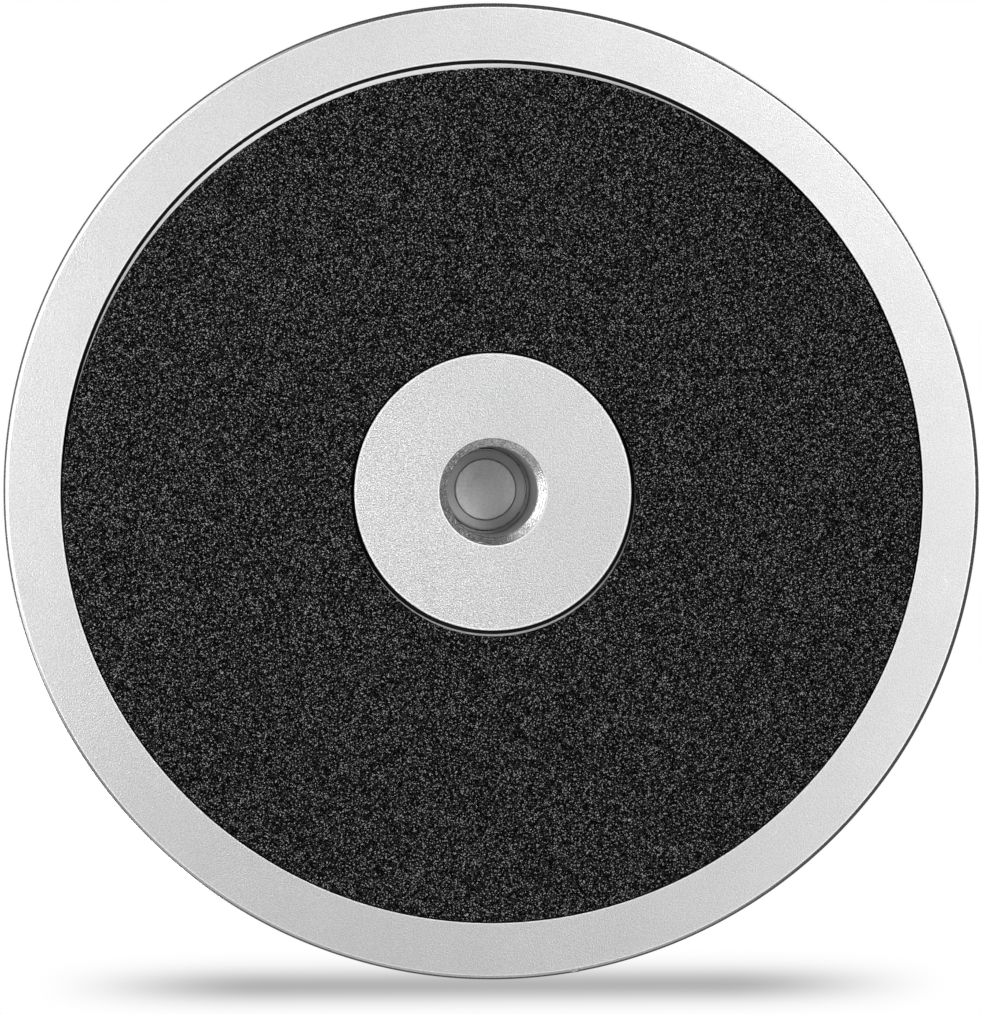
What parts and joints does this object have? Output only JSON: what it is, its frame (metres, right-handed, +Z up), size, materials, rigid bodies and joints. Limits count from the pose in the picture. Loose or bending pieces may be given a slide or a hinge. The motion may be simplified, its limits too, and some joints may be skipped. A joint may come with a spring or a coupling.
{
  "type": "banding wheel",
  "caption": "Low round turntable for pottery: a grooved aluminium wheel head on ball bearings over a wide aluminium base with a recessed foam foot pad.",
  "frame": {"origin": "centre of the foot pad's underside, on the spindle axis, where the wheel stands on the bench", "axes": "+Z up along the spindle, towards the wheel head; X and Y are level and the part is round about Z"},
  "size_m": [0.2, 0.2, 0.068],
  "materials": {
    "machined_aluminium": "turned, bead-blasted and clear anodised, matte silver",
    "pad_foam": "black granular bonded foam, matte",
    "adhesive_film": "white double-sided adhesive film",
    "bearing_steel": "ground and polished bearing steel",
    "cage_nylon": "natural moulded nylon",
    "shield_steel": "pressed sheet steel, dull grey",
    "turned_steel": "fine turned bright steel",
    "spring_steel": "phosphated spring steel, dark grey",
    "screw_steel": "black oxide",
    "felt": "dense dark grey wool felt"
  },
  "bodies": {
    "base": {"base_body": "machined_aluminium", "pad_adhesive": "adhesive_film", "foot_pad": "pad_foam", "bearing_outer_spacer": "machined_aluminium", "preload_washer": "spring_steel", "hub_circlip": "spring_steel", "lower_bearing_outer_ring": "bearing_steel", "lower_bearing_lower_shield": "shield_steel", "lower_bearing_upper_shield": "shield_steel", "upper_bearing_outer_ring": "bearing_steel", "upper_bearing_lower_shield": "shield_steel", "upper_bearing_upper_shield": "shield_steel"},
    "wheel": {"wheel_head": "machined_aluminium", "spindle": "turned_steel", "spindle_retaining_washer": "spring_steel", "spindle_flange_screws": "screw_steel", "bearing_inner_spacer": "turned_steel", "dust_seal": "felt", "lower_bearing_inner_ring": "bearing_steel", "upper_bearing_inner_ring": "bearing_steel"},
    "lower_ball_set": {"lower_bearing_balls": "bearing_steel", "lower_bearing_cage": "cage_nylon"},
    "upper_ball_set": {"upper_bearing_balls": "bearing_steel", "upper_bearing_cage": "cage_nylon"}
  },
  "joints": [
    {"name": "wheel_spin", "type": "hinge", "parent": "base", "child": "wheel", "pos_m": [0, 0, 0.06], "axis": [0, 0, 1], "continuous": true},
    {"name": "lower_balls_roll", "type": "hinge", "parent": "base", "child": "lower_ball_set", "pos_m": [0, 0, 0.038], "axis": [0, 0, 1], "continuous": true},
    {"name": "upper_balls_roll", "type": "hinge", "parent": "base", "child": "upper_ball_set", "pos_m": [0, 0, 0.048], "axis": [0, 0, 1], "continuous": true}
  ],
  "couplings": [
    {"joint": "lower_balls_roll", "follows": "wheel_spin", "ratio": 0.381},
    {"joint": "upper_balls_roll", "follows": "wheel_spin", "ratio": 0.381}
  ]
}
